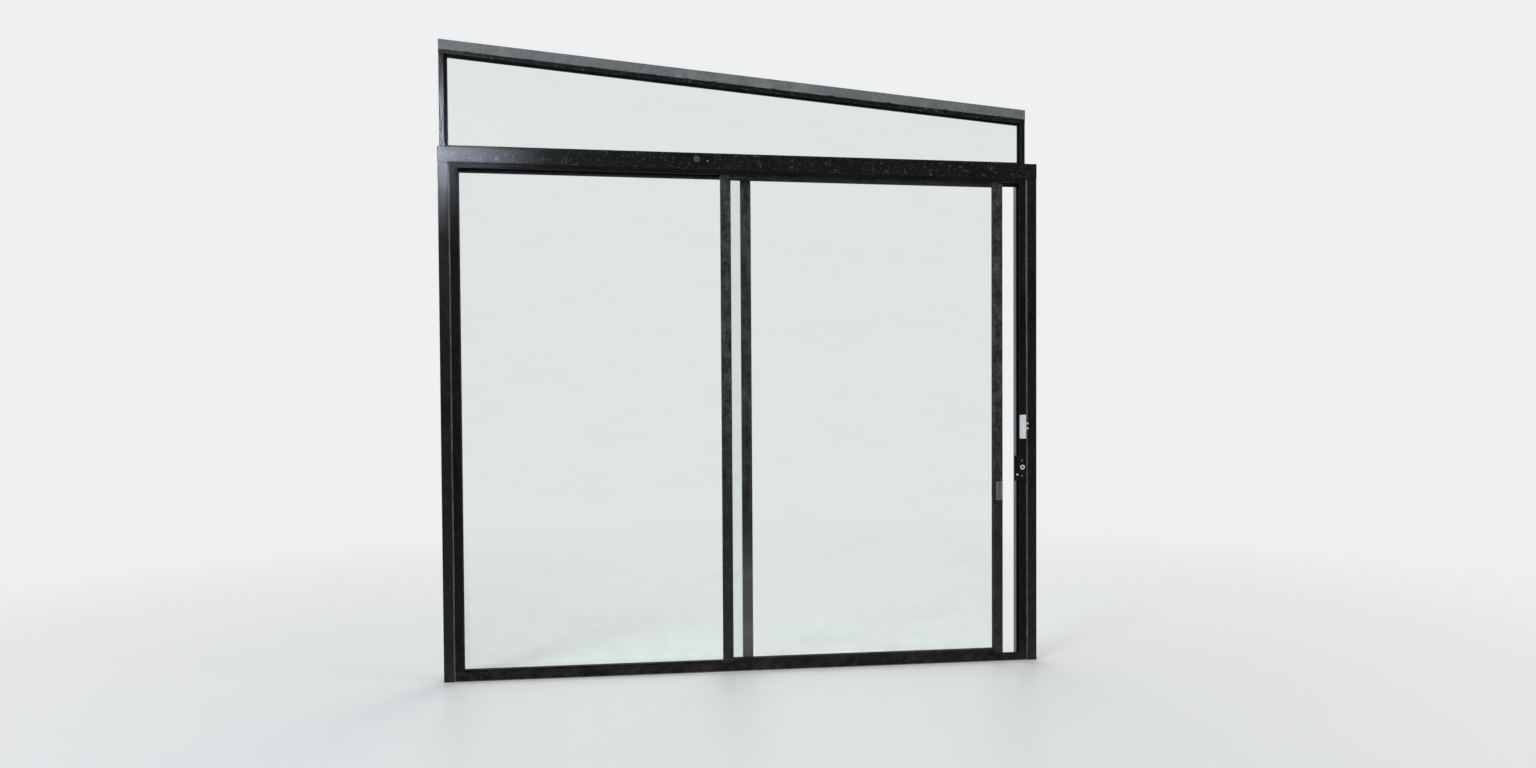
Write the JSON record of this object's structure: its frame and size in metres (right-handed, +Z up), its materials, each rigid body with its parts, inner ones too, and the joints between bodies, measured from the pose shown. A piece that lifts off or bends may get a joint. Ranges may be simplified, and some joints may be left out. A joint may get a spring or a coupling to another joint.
{
  "type": "glazed end wall of a shipping container cabin with a two-panel sliding door",
  "caption": "Black steel-framed glazed end wall with a sliding glass door, a fixed light and a sloped transom light, for a cabin between two containers.",
  "frame": {"origin": "on the floor, under the middle of the sill's underside, in the middle of the wall's depth", "axes": "+X to the right as seen from the room, +Y out of doors, +Z up"},
  "size_m": [3.04, 0.127, 3.1538],
  "materials": {
    "black_steel": "satin black paint with orange peel",
    "galvanised_steel": "dull galvanised, spangled",
    "black_aluminium": "satin black powder coat",
    "black_rubber": "matt",
    "clear_glass": "clear float glass with a green edge",
    "grey_sealant": "smooth silicone bead",
    "zinc_steel": "zinc plated",
    "roller_nylon": "turned nylon",
    "guide_nylon": "matt",
    "grey_pull": "satin grey",
    "white_plastic": "semi-gloss"
  },
  "bodies": {
    "wall": {"left_post": "black_steel", "right_post": "black_steel", "header_beam": "black_steel", "header_caps": "black_steel", "left_stud": "black_steel", "right_stud": "black_steel", "head_rail": "black_steel", "rafter": "galvanised_steel", "rafter_cleat": "galvanised_steel", "transom_bottom_channel": "black_aluminium", "transom_top_channel": "black_aluminium", "transom_left_channel": "black_aluminium", "transom_right_channel": "black_aluminium", "frame_head": "black_aluminium", "frame_sill": "black_aluminium", "frame_left_jamb": "black_aluminium", "frame_right_jamb": "black_aluminium", "fixed_left_channel": "black_aluminium", "fixed_top_channel": "black_aluminium", "fixed_bottom_rail": "black_aluminium", "fixed_meeting_stile": "black_aluminium", "transom_gasket": "black_rubber", "fixed_gasket": "black_rubber", "closing_buffers": "black_rubber", "opening_buffers": "black_rubber", "transom_glass": "clear_glass", "fixed_glass": "clear_glass", "perimeter_seal": "grey_sealant", "lock_strike": "zinc_steel", "lock_keeper": "black_steel", "junction_box": "white_plastic", "junction_box_cover": "white_plastic"},
    "sliding_panel": {"sash_meeting_stile": "black_aluminium", "sash_lock_stile": "black_aluminium", "sash_top_rail": "black_aluminium", "sash_bottom_rail": "black_aluminium", "sash_gasket": "black_rubber", "sash_glass": "clear_glass", "roller_carriages": "zinc_steel", "roller_wheels": "roller_nylon", "top_guides": "guide_nylon", "flush_pull": "grey_pull", "lock_case": "zinc_steel"}
  },
  "joints": [
    {"name": "panel_slide", "type": "slide", "parent": "wall", "child": "sliding_panel", "axis": [1, 0, 0], "range_m": [-1.287, 0.105]}
  ]
}
